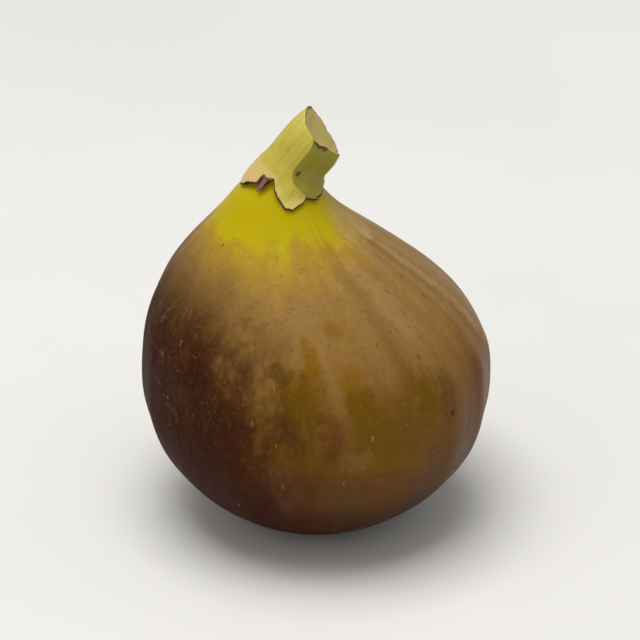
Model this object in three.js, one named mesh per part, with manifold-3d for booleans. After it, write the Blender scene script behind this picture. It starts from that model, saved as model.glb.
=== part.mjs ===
// A fresh fig, whole and ripe, standing on its base. The fruit narrows to a short leaning neck. On it
// sits the cut stalk, bent over to one side, whose three bracts lap over the neck with a ragged hem.
// Small scales close the eye in the middle of the underside.
// Millimetres, +Z up. The origin is the middle of the flat ring that the fig stands on, and the side
// seen in the photograph faces -Y. Angles are in degrees, counted from +X towards +Y.
import * as THREE from "three";
import { mergeVertices } from "three/addons/utils/BufferGeometryUtils.js";
import Module from "manifold-3d";

// Fruit: an ellipse below the widest ring, and a bell above it
const fruitRadius = 24.4;
const widestHeight = 21.8;
const lowerHalfAxis = 23.0; // taller than widestHeight, which leaves the flat spot underneath
const neckHeight = 54.2;
const neckRadius = 4.8;
const shoulderPower = 1.34; // larger keeps the shoulder full for longer
const neckPinch = 1.3; // how much thinner the neck is where the bracts cover it
const neckReturn = 1.5; // how far the neck's top comes back to the right under the stalk
const pinchStart = 49.5;
const neckDome = 0.9; // how far the neck's closed top bulges up inside the stalk

// The neck leans to the left and a little back
const leanLeft = 5.2;
const leanBack = 0.9;
const leanStart = 25;
const leanEnd = 50;

// Ribs that run from the resting ring to the neck. They fade in and out between two pairs of heights.
const ribCount = 18;
const ribHeight = 0.28;
const ribSharpness = 1.6;
const ribFadeIn = [0, 14];
const ribFadeOut = [38, 52];
const ribWanders = [
  { waves: 3, share: 0.5, turn: 40 },
  { waves: 5, share: 0.5, turn: 0 },
]; // uneven spacing, as a share of one radian of the ribs' own wave
const ribUneven = { waves: 4, share: 0.3, turn: 63 }; // some ribs stand out less than others

// The fruit's slightly uneven girth, as shares of its radius
const girths = [
  { waves: 2, share: 0.012, turn: 29 },
  { waves: 3, share: 0.009, turn: 109 },
];

// Underside: the resting ring, the dish inside it and the socket of the eye
const restInnerRadius = 5.0;
const socketRadius = 3.6;
const dishDepth = 0.9;
const socketDepth = 2.3;

// Stalk: its middle line starts straight up inside the neck and bends over to the right
const stalkFoot = new THREE.Vector3(-5.2, 0.9, 49.0);
const stalkRise = new THREE.Vector3(-5.2, 0.9, 52.2);
const stalkBend = new THREE.Vector3(-2.6, 0.7, 54.4);
const stalkEnd = new THREE.Vector3(2.8, 0.3, 61.8);
const stalkTilt = 50; // of the stalk's cross-sections at its end
const tiltRange = [0.15, 0.95]; // shares of the middle line between which the tilt grows
const stalkFootRadius = 5.75;
const stalkBodyRadius = 4.25;
const bodyRange = [0.25, 0.6];
const stalkEndRadius = 3.5;
const endRange = [0.75, 1];
const stalkRidges = { waves: 5, share: 0.02, turn: 34 };

// The stalk's flat side, which faces down to the front and right. Its distance from the middle line is
// given as a share of the radius, at the foot, in the middle and at the end.
const flatFacing = 302;
const flatFootTurn = 30; // by which the flat side's foot faces further to the right
const flatFootShare = 0.98;
const flatShare = 0.77;
const flatEndShare = 0.52;
const flatCorner = 26; // larger gives the flat side sharper corners

// The slanted, slightly uneven cut
const cutMiddle = new THREE.Vector3(0.57, 0.57, 59.03);
const cutNormal = new THREE.Vector3(0.765, -0.17, 0.62).normalize();
const cutWaves = [
  { waves: 1, share: 0.5, turn: 136 },
  { waves: 2, share: 0.24, turn: 46 },
]; // heights over the cut's plane

// Bracts: where each tip hangs, how wide the bract is to both sides, and how low its tip lies. The
// first two are the pointed front and the broad right side of one bract, and the last is the dry shred
// between it and its neighbour.
const bracts = [
  { tip: 286, before: 46, after: 60, low: 49.9, roundness: 1.4 },
  { tip: 325, before: 40, after: 48, low: 50.4, roundness: 2.8 },
  { tip: 186, before: 56, after: 60, low: 51.2, roundness: 0.9 },
  { tip: 72, before: 62, after: 60, low: 50.4, roundness: 1.7 },
  { tip: 230, before: 10, after: 11, low: 51.8, roundness: 1.0 },
];
const notchHeight = 53.9;
const bractThickness = 0.5;
const bractBlend = 20; // larger makes a sharper crease where a bract turns into the stalk
const fitGap = 0.3; // between neighbouring pieces

// Eye: rings of scales whose tips point at the middle
const eyeRadius = 3.2;
const eyeRimHeight = 1.25; // of the core's lower face, which drops towards the middle
const eyeSlope = 9;
const scaleRings = [
  { count: 11, middle: 2.3, length: 1.7, width: 1.5 },
  { count: 8, middle: 1.45, length: 1.5, width: 1.3 },
  { count: 5, middle: 0.65, length: 1.2, width: 1.1 },
];
const scaleThickness = 0.66;
const scaleDip = 5; // by which each tip stands out of the core's slope
const scaleTaper = 0.25; // how much narrower than its middle a scale is at its tip

// Fineness of the surfaces
const fruitSegments = 90;
const stalkSegments = 72;
const eyeSegments = 36;
const dishSteps = 3;
const lowerSteps = 15;
const upperSteps = 24;
const domeSteps = 3;
const liningSteps = 5;
const outerSteps = 14;
const halvings = 30; // in the search for a point on the hem or on the cut

const wasm = await Module();
wasm.setup();

const radians = THREE.MathUtils.degToRad;
const { lerp, smoothstep } = THREE.MathUtils;

// Mesh helpers

// A closed skin over rings of equal length, from one end point to the other. The rings' points run
// counter-clockwise seen from above where the skin climbs.
function closedSkin(start, rings, end) {
  const count = rings[0].length;
  const points = [start, ...rings.flat(), end];
  const last = points.length - 1;
  const at = (ring, i) => 1 + ring * count + (i % count);
  const index = [];
  for (let i = 0; i < count; i++) {
    index.push(0, at(0, i + 1), at(0, i));
    for (let ring = 0; ring + 1 < rings.length; ring++) {
      index.push(at(ring, i), at(ring, i + 1), at(ring + 1, i + 1));
      index.push(at(ring, i), at(ring + 1, i + 1), at(ring + 1, i));
    }
    index.push(at(rings.length - 1, i), at(rings.length - 1, i + 1), last);
  }
  const geometry = new THREE.BufferGeometry().setFromPoints(points);
  geometry.setIndex(index);
  geometry.computeVertexNormals();
  return geometry;
}

// One ring of points, from a function of the angle in radians.
function ringOf(count, pointAt) {
  return Array.from({ length: count }, (_, i) => pointAt((i / count) * 2 * Math.PI));
}

function solidOf(geometry) {
  const bare = geometry.clone();
  bare.deleteAttribute("normal");
  bare.deleteAttribute("uv");
  const merged = mergeVertices(bare, 1e-4);
  const mesh = new wasm.Mesh({
    numProp: 3,
    vertProperties: merged.attributes.position.array,
    triVerts: new Uint32Array(merged.index.array),
  });
  return new wasm.Manifold(mesh);
}

function geometryOf(solid) {
  const mesh = solid.getMesh();
  const geometry = new THREE.BufferGeometry();
  geometry.setAttribute("position", new THREE.BufferAttribute(mesh.vertProperties, 3));
  geometry.setIndex(new THREE.BufferAttribute(mesh.triVerts, 1));
  geometry.computeVertexNormals();
  return geometry;
}

// Fruit

function fruitRadiusAt(height) {
  if (height < widestHeight) {
    const rise = (widestHeight - height) / lowerHalfAxis;
    return fruitRadius * Math.sqrt(1 - rise * rise);
  }
  const climb = Math.min(1, (height - widestHeight) / (neckHeight - widestHeight));
  const bell = (1 + Math.cos(Math.PI * climb ** shoulderPower)) / 2;
  const pinch = neckPinch * smoothstep(height, pinchStart, neckHeight);
  return neckRadius + (fruitRadius - neckRadius) * bell - pinch;
}

// How strongly ribs and uneven girth show: 0 on the resting ring and the neck, 1 on the belly.
function ribShare(height) {
  return smoothstep(height, ...ribFadeIn) * (1 - smoothstep(height, ...ribFadeOut));
}

// The sum of some waves around the axis, each with its number, its share and its turn in degrees.
function wavesAt(angle, list) {
  let sum = 0;
  for (const { waves, share, turn } of list) {
    sum += share * Math.cos(waves * angle + radians(turn));
  }
  return sum;
}

function ribAt(angle) {
  const wave = (1 + Math.cos(ribCount * angle + wavesAt(angle, ribWanders))) / 2;
  const strength = 1 - ribUneven.share + wavesAt(angle, [ribUneven]);
  return ribHeight * strength * wave ** ribSharpness;
}

// The fruit's leaning axis.
function axisPoint(height) {
  const lean = smoothstep(height, leanStart, leanEnd);
  const comeBack = neckReturn * smoothstep(height, pinchStart, neckHeight);
  return new THREE.Vector3(comeBack - leanLeft * lean, leanBack * lean, height);
}

// A point at one angle and height, at a radius that ribs and uneven girth add to.
function fruitPoint(angle, radius, height) {
  const share = ribShare(height);
  const reach = radius * (1 + wavesAt(angle, girths) * share) + ribAt(angle) * share;
  return axisPoint(height).add(new THREE.Vector3(Math.cos(angle), Math.sin(angle), 0).multiplyScalar(reach));
}

// The fruit's outline from the middle of the socket, out over the resting ring and up to the neck,
// as [radius, height] pairs.
function fruitOutline() {
  const outline = [
    [socketRadius / 2, socketDepth],
    [socketRadius, socketDepth],
    [socketRadius, dishDepth],
  ];
  for (let i = 1; i <= dishSteps; i++) {
    const t = i / dishSteps;
    outline.push([lerp(socketRadius, restInnerRadius, t), dishDepth * (1 - smoothstep(t, 0, 1))]);
  }
  const restAngle = Math.acos(widestHeight / lowerHalfAxis);
  for (let i = 0; i < lowerSteps; i++) {
    const angle = lerp(restAngle, Math.PI / 2, i / lowerSteps);
    const height = Math.max(0, widestHeight - lowerHalfAxis * Math.cos(angle));
    outline.push([fruitRadiusAt(height), height]);
  }
  for (let i = 0; i <= upperSteps; i++) {
    const height = lerp(widestHeight, neckHeight, i / upperSteps);
    outline.push([fruitRadiusAt(height), height]);
  }
  for (let i = 1; i < domeSteps; i++) {
    const angle = ((i / domeSteps) * Math.PI) / 2;
    const radius = fruitRadiusAt(neckHeight) * Math.cos(angle);
    outline.push([radius, neckHeight + neckDome * Math.sin(angle)]);
  }
  return outline;
}

function fruitGeometry() {
  const rings = fruitOutline().map(([radius, height]) =>
    ringOf(fruitSegments, (angle) => fruitPoint(angle, radius, height)),
  );
  return closedSkin(axisPoint(socketDepth), rings, axisPoint(neckHeight + neckDome));
}

// Stalk with its bracts

const stalkLine = new THREE.CubicBezierCurve3(stalkFoot, stalkRise, stalkBend, stalkEnd);

// The height of the bracts' hem, for an angle in radians.
function hemHeight(angle) {
  const degrees = THREE.MathUtils.radToDeg(angle);
  let hem = notchHeight;
  for (const { tip, before, after, low, roundness } of bracts) {
    const off = THREE.MathUtils.euclideanModulo(degrees - tip + 180, 360) - 180;
    const width = off < 0 ? before : after;
    const hang = Math.max(0, 1 - Math.abs(off / width) ** roundness);
    hem = Math.min(hem, lerp(notchHeight, low, hang));
  }
  return hem;
}

// The stalk's radius at one share of its middle line. Where the flat side lies, it is the distance
// to that side, and a high power mean rounds the corner between the two.
function stalkRadius(angle, along) {
  const body = smoothstep(along, ...bodyRange);
  const even = lerp(stalkFootRadius, stalkBodyRadius, body);
  const ridge = 1 + body * wavesAt(angle, [stalkRidges]);
  const round = lerp(even, stalkEndRadius, smoothstep(along, ...endRange)) * ridge;
  const facing = Math.cos(angle - radians(flatFacing + flatFootTurn * (1 - body)));
  if (facing <= 0) return round;
  const side = lerp(lerp(flatFootShare, flatShare, body), flatEndShare, smoothstep(along, ...endRange));
  const flat = (round * side) / facing;
  return (round ** -flatCorner + flat ** -flatCorner) ** (-1 / flatCorner);
}

// The least distance from the neck's axis that leaves room for the neck, the gap and the bracts.
function clearRadius(height) {
  const cover = fitGap + bractThickness;
  const over = Math.max(0, height - neckHeight) / (neckDome + cover);
  return (fruitRadiusAt(height) + cover) * Math.sqrt(Math.max(0, 1 - over * over));
}

// A point on the outside of the bracts and the stalk.
function stalkPoint(angle, along) {
  const tilt = radians(stalkTilt * smoothstep(along, ...tiltRange));
  const side = new THREE.Vector3(Math.cos(tilt), 0, -Math.sin(tilt));
  const radius = stalkRadius(angle, along);
  const point = stalkLine.getPoint(along).addScaledVector(side, radius * Math.cos(angle));
  point.y += radius * Math.sin(angle);
  const axis = axisPoint(point.z);
  const off = point.clone().sub(axis);
  const clear = clearRadius(point.z) / off.length();
  off.multiplyScalar((1 + clear ** bractBlend) ** (1 / bractBlend));
  return axis.add(off);
}

// The share of the middle line at which a measure of the stalk's surface reaches zero, by halving.
function alongWhere(angle, measure) {
  let low = 0;
  let high = 1;
  for (let i = 0; i < halvings; i++) {
    const middle = (low + high) / 2;
    if (measure(stalkPoint(angle, middle)) < 0) low = middle;
    else high = middle;
  }
  return low;
}

// The skin runs from the top of the hollow that holds the neck down the lining, around the hem and up
// the outside to the cut.
function stalkGeometry() {
  const rings = [];
  for (let i = domeSteps - 1; i > 0; i--) {
    const angle = ((i / domeSteps) * Math.PI) / 2;
    const radius = (fruitRadiusAt(neckHeight) + fitGap) * Math.cos(angle);
    const height = neckHeight + (neckDome + fitGap) * Math.sin(angle);
    rings.push(ringOf(stalkSegments, (turn) => fruitPoint(turn, radius, height)));
  }
  for (let i = 0; i <= liningSteps; i++) {
    rings.push(
      ringOf(stalkSegments, (angle) => {
        const height = lerp(neckHeight, hemHeight(angle), i / liningSteps);
        return fruitPoint(angle, fruitRadiusAt(height) + fitGap, height);
      }),
    );
  }
  const cutDistance = (point) => point.clone().sub(cutMiddle).dot(cutNormal);
  for (let i = 0; i <= outerSteps; i++) {
    rings.push(
      ringOf(stalkSegments, (angle) => {
        const hem = alongWhere(angle, (point) => point.z - hemHeight(angle));
        const uneven = wavesAt(angle, cutWaves);
        const cut = alongWhere(angle, (point) => cutDistance(point) - uneven);
        return stalkPoint(angle, lerp(hem, cut, i / outerSteps));
      }),
    );
  }
  return closedSkin(axisPoint(neckHeight + neckDome + fitGap), rings, cutMiddle);
}

// Eye

// A pointed scale: a flattened ball, narrowed towards its tip at -X.
function scaleGeometry(length, width) {
  const geometry = new THREE.SphereGeometry(1, 8, 5);
  const position = geometry.attributes.position;
  for (let i = 0; i < position.count; i++) {
    position.setY(i, position.getY(i) * (1 - scaleTaper + scaleTaper * position.getX(i)));
  }
  return geometry.scale(length / 2, width / 2, scaleThickness / 2);
}

function eyeGeometry() {
  const ceiling = socketDepth - fitGap;
  const faceAt = (radius) => eyeRimHeight - (eyeRadius - radius) * Math.tan(radians(eyeSlope));
  const coreOutline = [
    [0, faceAt(0)],
    [eyeRadius / 2, faceAt(eyeRadius / 2)],
    [eyeRadius, eyeRimHeight],
    [eyeRadius, ceiling],
    [0, ceiling],
  ].map(([radius, height]) => new THREE.Vector2(radius, height));
  let eye = solidOf(new THREE.LatheGeometry(coreOutline, eyeSegments).rotateX(Math.PI / 2));
  for (const { count, middle, length, width } of scaleRings) {
    for (let i = 0; i < count; i++) {
      const scale = scaleGeometry(length, width)
        .rotateY(radians(-eyeSlope - scaleDip))
        .translate(middle, 0, faceAt(middle))
        .rotateZ((i / count) * 2 * Math.PI);
      eye = eye.add(solidOf(scale));
    }
  }
  return geometryOf(eye);
}

// Assembly

function piece(name, geometry, color, roughness) {
  const material = new THREE.MeshStandardMaterial({ color, roughness, metalness: 0 });
  const mesh = new THREE.Mesh(geometry, material);
  mesh.name = name;
  return mesh;
}

const fig = new THREE.Group();
fig.add(piece("fruit", fruitGeometry(), 0x8a6a35, 0.5));
fig.add(piece("stalk", stalkGeometry(), 0xa9a23e, 0.6));
fig.add(piece("eye_scales", eyeGeometry(), 0x7a4a35, 0.7));

export default fig;
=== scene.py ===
"""A fresh fig that stands on its base on a pale table: its skin, its cut stalk and its scaly eye."""

import logging
import math
from collections.abc import Callable, Iterable, Sequence
from dataclasses import dataclass
from enum import Enum

import bpy
import numpy as np
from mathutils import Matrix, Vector


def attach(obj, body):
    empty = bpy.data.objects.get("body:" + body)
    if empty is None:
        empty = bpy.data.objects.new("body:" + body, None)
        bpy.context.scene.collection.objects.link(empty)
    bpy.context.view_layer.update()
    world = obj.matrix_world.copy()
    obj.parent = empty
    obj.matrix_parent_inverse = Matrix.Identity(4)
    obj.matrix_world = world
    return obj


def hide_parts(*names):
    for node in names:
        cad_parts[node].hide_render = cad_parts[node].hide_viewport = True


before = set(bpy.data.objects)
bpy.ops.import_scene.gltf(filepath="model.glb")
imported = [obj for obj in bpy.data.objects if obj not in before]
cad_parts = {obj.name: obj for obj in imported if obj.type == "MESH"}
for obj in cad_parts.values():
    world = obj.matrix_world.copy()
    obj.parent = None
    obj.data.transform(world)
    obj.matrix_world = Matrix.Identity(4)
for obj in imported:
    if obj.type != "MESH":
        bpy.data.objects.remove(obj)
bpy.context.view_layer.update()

LOG = logging.getLogger("fig")
BODY = "root"
MM = 0.001
Triple = tuple[float, float, float]
Colour = tuple[float, float, float, float]


class Slot(Enum):
    """The record's material slots."""

    SKIN = "skin"
    STALK = "stalk"
    EYE = "eye"


def tint(red: int, green: int, blue: int) -> Colour:
    """Turns a colour as a screen shows it into the linear one that a shader takes.

    Args:
        red: Red, from 0 to 255.
        green: Green, from 0 to 255.
        blue: Blue, from 0 to 255.

    Returns:
        Linear red, green and blue, and an alpha of 1.
    """
    shares = (red / 255, green / 255, blue / 255)
    linear = [s / 12.92 if s <= 0.04045 else ((s + 0.055) / 1.055) ** 2.4 for s in shares]
    return (*linear, 1.0)


def smoothstep(value: np.ndarray, low: float, high: float) -> np.ndarray:
    """Rises smoothly from 0 at low to 1 at high."""
    t = np.clip((value - low) / (high - low), 0, 1)
    return t * t * (3 - 2 * t)


def lerp(low: np.ndarray | float, high: np.ndarray | float, share: np.ndarray | float) -> np.ndarray:
    """Goes evenly from low at a share of 0 to high at a share of 1."""
    return low + (high - low) * np.asarray(share)


def turned(degrees: np.ndarray, middle: float) -> np.ndarray:
    """The turn from one angle to others, from -180 to 180 degrees."""
    return (degrees - middle + 180) % 360 - 180


class Wire:
    """One output of a node. Arithmetic on it adds the Math nodes for it."""

    def __init__(self, graph: "Graph", socket: bpy.types.NodeSocket) -> None:
        """Keeps the graph and the output that the wire starts from."""
        self.graph = graph
        self.socket = socket

    def __add__(self, other: "Wire | float") -> "Wire":
        """The sum."""
        return self.graph.maths("ADD", self, other)

    def __sub__(self, other: "Wire | float") -> "Wire":
        """The difference."""
        return self.graph.maths("SUBTRACT", self, other)

    def __rsub__(self, other: float) -> "Wire":
        """The difference from a plain number."""
        return self.graph.maths("SUBTRACT", other, self)

    def __mul__(self, other: "Wire | float") -> "Wire":
        """The product."""
        return self.graph.maths("MULTIPLY", self, other)

    def __pow__(self, other: float) -> "Wire":
        """The power."""
        return self.graph.maths("POWER", self, other)

    def __abs__(self) -> "Wire":
        """The distance from zero."""
        return self.graph.maths("ABSOLUTE", self)

    __radd__ = __add__
    __rmul__ = __mul__

    def over(self, other: "Wire | float") -> "Wire":
        """The larger of the two."""
        return self.graph.maths("MAXIMUM", self, other)

    def cosine(self) -> "Wire":
        """The cosine of an angle in radians."""
        return self.graph.maths("COSINE", self)

    def rise(self, low: float, high: float) -> "Wire":
        """Rises smoothly from 0 at low to 1 at high.

        Args:
            low: Where the rise starts.
            high: Where it ends. It is less than low for a fall.

        Returns:
            The mask.
        """
        ends = {"Value": self, "From Min": low, "From Max": high}
        node = self.graph.node("ShaderNodeMapRange", {"interpolation_type": "SMOOTHSTEP"}, ends)
        return self.graph.out(node, "Result")

    def hump(self, start: float, full: float, last: float, end: float) -> "Wire":
        """A window that rises from start to full and falls from last to end."""
        return self.rise(start, full) * (1 - self.rise(last, end))


class Graph:
    """Adds nodes to one shader or geometry tree."""

    def __init__(self, tree: bpy.types.NodeTree) -> None:
        """Keeps the tree, and empties it."""
        self.tree = tree
        tree.nodes.clear()

    def node(
        self,
        kind: str,
        settings: dict[str, object] | None = None,
        sockets: dict[str | int, object] | None = None,
    ) -> bpy.types.Node:
        """Adds one node.

        Args:
            kind: The node's type.
            settings: Its properties, set first. "stops" are a ramp's places and colours.
            sockets: What goes into its inputs, by name or number: a wire or a value.

        Returns:
            The node.
        """
        node = self.tree.nodes.new(kind)
        for name, value in (settings or {}).items():
            if name == "stops":
                self._set_stops(node.color_ramp, value)
            else:
                setattr(node, name, value)
        for name, value in (sockets or {}).items():
            self.feed(node.inputs[name], value)
        return node

    @staticmethod
    def _set_stops(ramp: bpy.types.ColorRamp, stops: Sequence[tuple[float, Colour]]) -> None:
        """Gives a ramp its stops. It has two from the start.

        Args:
            ramp: The ramp.
            stops: The place of each stop, from 0 to 1, and its colour.
        """
        while len(ramp.elements) < len(stops):
            ramp.elements.new(1.0)
        for element, (place, colour) in zip(ramp.elements, stops):
            element.position = place
            element.color = colour

    def feed(self, target: bpy.types.NodeSocket, value: object) -> None:
        """Links a wire to an input, or sets the input to a value.

        Args:
            target: The input.
            value: The wire or the value.
        """
        if isinstance(value, Wire):
            self.tree.links.new(value.socket, target)
        else:
            target.default_value = value

    def out(self, node: bpy.types.Node, name: str | int = 0) -> Wire:
        """One of a node's outputs as a wire."""
        return Wire(self, node.outputs[name])

    def maths(self, operation: str, *values: Wire | float) -> Wire:
        """A Math node on one or two values."""
        return self.out(self.node("ShaderNodeMath", {"operation": operation}, dict(enumerate(values))))

    def vector_maths(self, operation: str, *values: object) -> Wire:
        """A Vector Math node on vectors."""
        settings = {"operation": operation}
        return self.out(self.node("ShaderNodeVectorMath", settings, dict(enumerate(values))), "Vector")

    def parts(self, vector: Wire) -> tuple[Wire, Wire, Wire]:
        """A vector's three parts."""
        node = self.node("ShaderNodeSeparateXYZ", None, {0: vector})
        return self.out(node, 0), self.out(node, 1), self.out(node, 2)

    def noise(
        self,
        place: Wire,
        waves: Triple | float,
        detail: float,
        roughness: float,
        seed: float,
    ) -> Wire:
        """Noise around 0.5.

        Args:
            place: Where it is read.
            waves: How many waves it has for each unit of the place, one number or one for each way.
            detail: Its octaves.
            roughness: How strong the finer octaves are.
            seed: A number of its own for each use, by which the place is shifted.

        Returns:
            The noise.
        """
        stretch = waves if isinstance(waves, tuple) else (waves, waves, waves)
        shifted = self.vector_maths("MULTIPLY_ADD", place, stretch, (seed, 2 * seed, -seed))
        sockets = {"Vector": shifted, "Scale": 1.0, "Detail": detail, "Roughness": roughness}
        return self.out(self.node("ShaderNodeTexNoise", {"noise_dimensions": "3D"}, sockets))


class Shader(Graph):
    """The node graph of one material."""

    def __init__(self, name: str) -> None:
        """Makes the material, with an empty graph.

        Args:
            name: Its name.
        """
        self.material = bpy.data.materials.new(name)
        self.material.use_nodes = True
        super().__init__(self.material.node_tree)

    def place(self) -> Wire:
        """Object coordinates, in metres."""
        return self.out(self.node("ShaderNodeTexCoord"), "Object")

    def carried(self, name: str) -> Wire:
        """A vector that the mesh carries at each point."""
        return self.out(self.node("ShaderNodeAttribute", {"attribute_name": name}), "Vector")

    def mix(self, share: Wire, low: Wire | Colour, high: Wire | Colour) -> Wire:
        """Lays the high colour over the low one, as far as a share from 0 to 1 says."""
        settings = {"data_type": "RGBA", "clamp_factor": True}
        return self.out(self.node("ShaderNodeMix", settings, {0: share, 6: low, 7: high}), 2)

    def ramp(self, value: Wire, stops: Sequence[tuple[float, Colour]]) -> Wire:
        """Colours by a value from 0 to 1."""
        return self.out(self.node("ShaderNodeValToRGB", {"stops": stops}, {0: value}))

    def finish(
        self,
        colour: Wire,
        roughness: Wire,
        relief: Wire,
        relief_depth: float,
        constants: dict[str, object],
    ) -> bpy.types.Material:
        """Ends the graph in one surface.

        Args:
            colour: Its colour.
            roughness: Its roughness.
            relief: The height of its finest relief, from 0 to 1.
            relief_depth: What a height of 1 is, in metres.
            constants: What is the same all over, by the surface's own input.

        Returns:
            The material.
        """
        bump = self.out(self.node("ShaderNodeBump", None, {"Distance": relief_depth, "Height": relief}))
        sockets = {"Base Color": colour, "Roughness": roughness, "Normal": bump, **constants}
        surface = self.out(self.node("ShaderNodeBsdfPrincipled", None, sockets))
        self.node("ShaderNodeOutputMaterial", None, {"Surface": surface})
        return self.material


class Growth(Graph):
    """A Geometry Nodes tree with named inputs, which leaves a plain mesh where it is grown."""

    KINDS = {float: "NodeSocketFloat", int: "NodeSocketInt"}

    def __init__(self, name: str, inputs: dict[str, float | int]) -> None:
        """Makes the tree.

        Args:
            name: Its name.
            inputs: The numbers that it takes, by name.
        """
        super().__init__(bpy.data.node_groups.new(name, "GeometryNodeTree"))
        face = self.tree.interface
        face.new_socket("Geometry", in_out="INPUT", socket_type="NodeSocketGeometry")
        face.new_socket("Geometry", in_out="OUTPUT", socket_type="NodeSocketGeometry")
        self.values: dict[str, float | int] = {}
        for label, value in inputs.items():
            socket = face.new_socket(label, in_out="INPUT", socket_type=self.KINDS[type(value)])
            self.values[socket.identifier] = value
        self.entry = self.node("NodeGroupInput")

    def given(self, name: str = "Geometry") -> Wire:
        """One of the tree's inputs."""
        return self.out(self.entry, name)

    def carried(self, name: str) -> Wire:
        """A vector that the mesh carries at each point."""
        settings = {"data_type": "FLOAT_VECTOR"}
        return self.out(self.node("GeometryNodeInputNamedAttribute", settings, {"Name": name}))

    def chance(self, low: float, high: float, seed: Wire) -> Wire:
        """A random number for each point, from low to high."""
        sockets = {2: low, 3: high, "Seed": seed}
        return self.out(self.node("FunctionNodeRandomValue", {"data_type": "FLOAT"}, sockets), 1)

    def vector(self, x: Wire | float, y: Wire | float, z: Wire | float) -> Wire:
        """A vector from its three parts."""
        return self.out(self.node("ShaderNodeCombineXYZ", None, {0: x, 1: y, 2: z}))

    def push_out(self, geometry: Wire, way: Wire, distance: Wire) -> Wire:
        """Moves each point of some geometry along a way.

        Args:
            geometry: The geometry.
            way: The way, a vector of length 1.
            distance: How far each point moves.

        Returns:
            The moved geometry.
        """
        offset = self.node("ShaderNodeVectorMath", {"operation": "SCALE"}, {0: way, "Scale": distance})
        sockets = {"Geometry": geometry, "Offset": self.out(offset)}
        return self.out(self.node("GeometryNodeSetPosition", None, sockets))

    def grow(self, piece: bpy.types.Object, geometry: Wire, material: bpy.types.Material) -> None:
        """Ends the tree, grows it on a piece and keeps the result as the piece's plain mesh.

        Args:
            piece: The object that it starts from.
            geometry: What the tree has made. Its instances become real.
            material: What it is made of.
        """
        real = self.out(self.node("GeometryNodeRealizeInstances", None, {0: geometry}))
        dressed = self.node("GeometryNodeSetMaterial", None, {"Geometry": real, "Material": material})
        self.node("NodeGroupOutput", None, {0: self.out(dressed)})
        modifier = piece.modifiers.new(self.tree.name, "NODES")
        modifier.node_group = self.tree
        for identifier, value in self.values.items():
            modifier[identifier] = value
        graph = bpy.context.evaluated_depsgraph_get()
        grown = bpy.data.meshes.new_from_object(piece.evaluated_get(graph), depsgraph=graph)
        piece.modifiers.remove(modifier)
        grown.name = piece.name
        piece.data = grown


def new_piece(name: str, mesh: bpy.types.Mesh) -> bpy.types.Object:
    """Puts a mesh into the scene, smooth shaded, on an object at the origin.

    Args:
        name: The object's name.
        mesh: The mesh.

    Returns:
        The object.
    """
    mesh.shade_smooth()
    piece = bpy.data.objects.new(name, mesh)
    bpy.context.scene.collection.objects.link(piece)
    return piece


def closed_skin(
    name: str,
    start: np.ndarray,
    rings: np.ndarray,
    end: np.ndarray,
    carried: dict[str, np.ndarray],
) -> bpy.types.Object:
    """Joins rings of points to a closed skin.

    Args:
        name: The object's name.
        start: The point that closes the skin before the first ring.
        rings: Points by ring and by turn. Seen from above they run counter-clockwise.
        end: The point that closes the skin after the last ring.
        carried: Vectors for the skin to carry, by name, for each of the rings' points.

    Returns:
        The object.
    """
    rows, turns = rings.shape[:2]
    points = np.vstack([start[None], rings.reshape(-1, 3), end[None]])
    here = 1 + np.arange(turns)
    after = 1 + (np.arange(turns) + 1) % turns
    top = (rows - 1) * turns
    faces = [(0, b, a) for a, b in zip(here.tolist(), after.tolist())]
    for low in range(0, top, turns):
        high = low + turns
        faces += np.stack([low + here, low + after, high + after, high + here], axis=1).tolist()
    faces += [(top + a, top + b, len(points) - 1) for a, b in zip(here.tolist(), after.tolist())]
    mesh = bpy.data.meshes.new(name)
    mesh.from_pydata(points.tolist(), [], faces)
    for label, values in carried.items():
        whole = np.vstack([values[0].mean(axis=0), values.reshape(-1, 3), values[-1].mean(axis=0)])
        layer = mesh.attributes.new(label, "FLOAT_VECTOR", "POINT")
        layer.data.foreach_set("vector", whole.astype(np.float32).ravel())
    return new_piece(name, mesh)


@dataclass(frozen=True)
class Wave:
    """A gentle wave around the fig: its number of crests, its strength and its turn in degrees."""

    crests: int
    strength: float
    turn: float

    def at(self, angle: np.ndarray) -> np.ndarray:
        """Its height at angles in radians."""
        return self.strength * np.cos(self.crests * angle + math.radians(self.turn))

    def drawn(self, angle: Wire) -> Wire:
        """Its height as nodes, for an angle in radians."""
        return (angle * self.crests + math.radians(self.turn)).cosine() * self.strength


def waves_at(angle: np.ndarray, waves: Iterable[Wave]) -> np.ndarray:
    """The sum of some waves at angles in radians."""
    return sum((wave.at(angle) for wave in waves), np.zeros_like(angle))


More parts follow.
